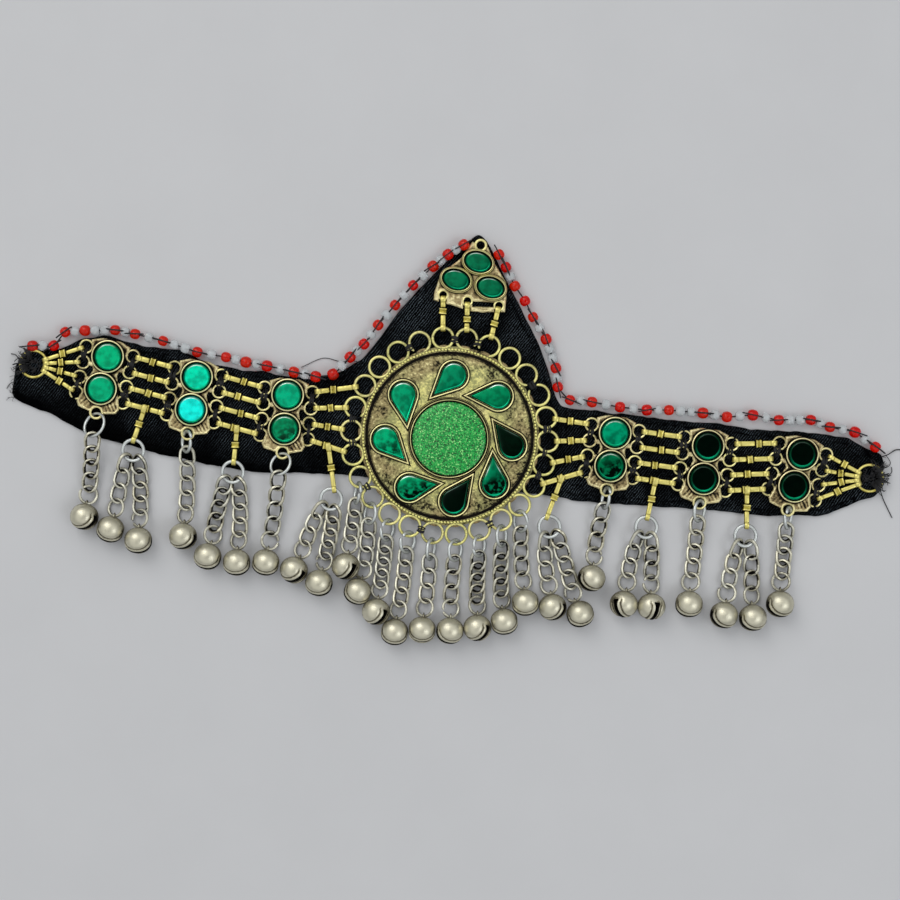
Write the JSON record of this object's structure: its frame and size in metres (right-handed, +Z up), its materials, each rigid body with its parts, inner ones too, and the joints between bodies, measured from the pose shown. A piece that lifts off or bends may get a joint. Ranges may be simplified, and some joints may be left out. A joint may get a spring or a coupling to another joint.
{
  "type": "beaded forehead piece with bell drops",
  "caption": "Long black cloth forehead band with a central peak, cast brass plaques, a round medallion, green glass stones, linked bars and chain drops ending in small bells.",
  "frame": {"origin": "on the resting surface, under the middle of the medallion", "axes": "+X along the band to the wearer's left, +Y towards the peak, +Z up from the surface it lies on"},
  "size_m": [0.3243, 0.1546, 0.0101],
  "materials": {
    "black_satin": "black satin with a soft sheen",
    "antique_brass": "cast, tarnished, worn bright on the edges",
    "bar_brass": "drawn, lightly tarnished",
    "nickel_steel": "nickel plated, dull, dark in the recesses",
    "emerald_glass": "foil-backed, polished",
    "green_glitter": "clear cabochon over green glitter",
    "red_bead": "translucent seed bead",
    "white_bead": "milky clear seed bead",
    "black_thread": "cotton sewing thread"
  },
  "bodies": {
    "root": {"cloth_band": "black_satin", "glitter_disc": "green_glitter", "medallion": "antique_brass", "peak_plaque": "antique_brass", "plaque_1": "antique_brass", "plaque_2": "antique_brass", "plaque_3": "antique_brass", "plaque_4": "antique_brass", "plaque_5": "antique_brass", "plaque_6": "antique_brass", "bars_peak": "bar_brass", "end_ring_left": "bar_brass", "end_ring_right": "bar_brass", "bars_left_end": "bar_brass", "bars_left_outer": "bar_brass", "bars_left_inner": "bar_brass", "bars_left_medal": "bar_brass", "bars_right_end": "bar_brass", "bars_right_outer": "bar_brass", "bars_right_inner": "bar_brass", "bars_right_medal": "bar_brass", "teardrop_1": "emerald_glass", "teardrop_2": "emerald_glass", "teardrop_3": "emerald_glass", "teardrop_4": "emerald_glass", "teardrop_5": "emerald_glass", "teardrop_6": "emerald_glass", "teardrop_7": "emerald_glass", "teardrop_8": "emerald_glass", "stone_1_upper": "emerald_glass", "stone_1_lower": "emerald_glass", "stone_2_upper": "emerald_glass", "stone_2_lower": "emerald_glass", "stone_3_upper": "emerald_glass", "stone_3_lower": "emerald_glass", "stone_4_upper": "emerald_glass", "stone_4_lower": "emerald_glass", "stone_5_upper": "emerald_glass", "stone_5_lower": "emerald_glass", "stone_6_upper": "emerald_glass", "stone_6_lower": "emerald_glass", "peak_stone_top": "emerald_glass", "peak_stone_left": "emerald_glass", "peak_stone_right": "emerald_glass", "bell_drop_1": "nickel_steel", "bell_drop_2": "nickel_steel", "bell_drop_3": "nickel_steel", "bell_drop_4": "nickel_steel", "bell_drop_5": "nickel_steel", "bell_drop_6": "nickel_steel", "bell_pair_1": "nickel_steel", "bell_pair_2": "nickel_steel", "bell_pair_3": "nickel_steel", "bell_pair_4": "nickel_steel", "bell_pair_5": "nickel_steel", "bell_pair_6": "nickel_steel", "medal_drops_left": "nickel_steel", "medal_drops_middle": "nickel_steel", "medal_drops_right": "nickel_steel"}
  },
  "joints": []
}
